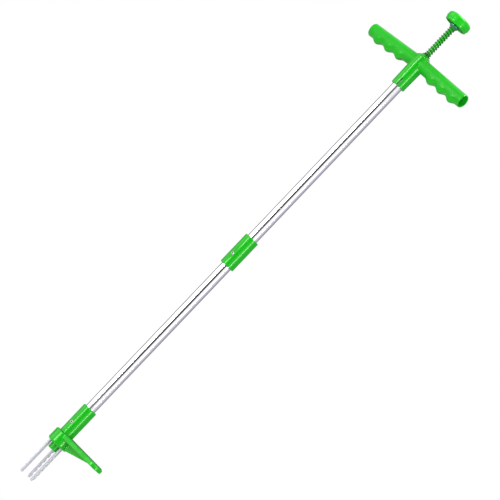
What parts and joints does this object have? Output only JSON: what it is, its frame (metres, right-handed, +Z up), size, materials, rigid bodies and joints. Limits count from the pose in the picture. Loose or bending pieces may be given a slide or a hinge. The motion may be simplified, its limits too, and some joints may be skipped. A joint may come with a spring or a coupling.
{
  "type": "stand up weeder",
  "caption": "Long stand up weeder: T handle with finger grips, steel tube shaft, foot pedal, steel claws and a spring-returned push knob that ejects the weed.",
  "frame": {"origin": "where the handle's cross bar meets the shaft's axis, which is where the hands hold the tool", "axes": "+Z up the shaft towards the push knob, +X along the handle bar and along the foot pedal, +Y away from the screw heads of the coupling and the head"},
  "size_m": [0.1876, 0.0378, 0.8665],
  "materials": {
    "green_plastic": "moulded bright green plastic, semi gloss",
    "knob_plastic": "moulded saturated green plastic, semi gloss",
    "bush_plastic": "natural white plastic",
    "tube_steel": "polished steel",
    "claw_steel": "bright stamped stainless steel",
    "spring_steel": "dark oiled steel",
    "rod_steel": "drawn steel rod",
    "screw_steel": "plated screw"
  },
  "bodies": {
    "shaft_frame": {"t_handle": "green_plastic", "handle_screw": "screw_steel", "handle_guide_bush": "bush_plastic", "spring_washer": "spring_steel", "return_spring": "spring_steel", "upper_tube": "tube_steel", "middle_guide_bush": "bush_plastic", "tube_coupling": "green_plastic", "coupling_screw": "screw_steel", "lower_tube": "tube_steel", "head_guide_bush": "bush_plastic", "head_socket": "green_plastic", "head_screw": "screw_steel", "foot_pedal": "green_plastic", "claw_1": "claw_steel", "claw_2": "claw_steel", "claw_3": "claw_steel"},
    "pusher": {"push_knob": "knob_plastic", "spring_cup": "spring_steel", "stem_sleeve": "green_plastic", "upper_push_rod": "rod_steel", "stop_clip": "spring_steel", "rod_coupler": "rod_steel", "lower_push_rod": "rod_steel", "ejector": "knob_plastic", "ejector_screw": "screw_steel"}
  },
  "joints": [
    {"name": "push_slide", "type": "slide", "parent": "shaft_frame", "child": "pusher", "axis": [0, 0, -1], "range_m": [0, 0.031], "stiffness_N_per_m": 250, "springref_m": -0.02, "deforming": ["return_spring"]}
  ]
}
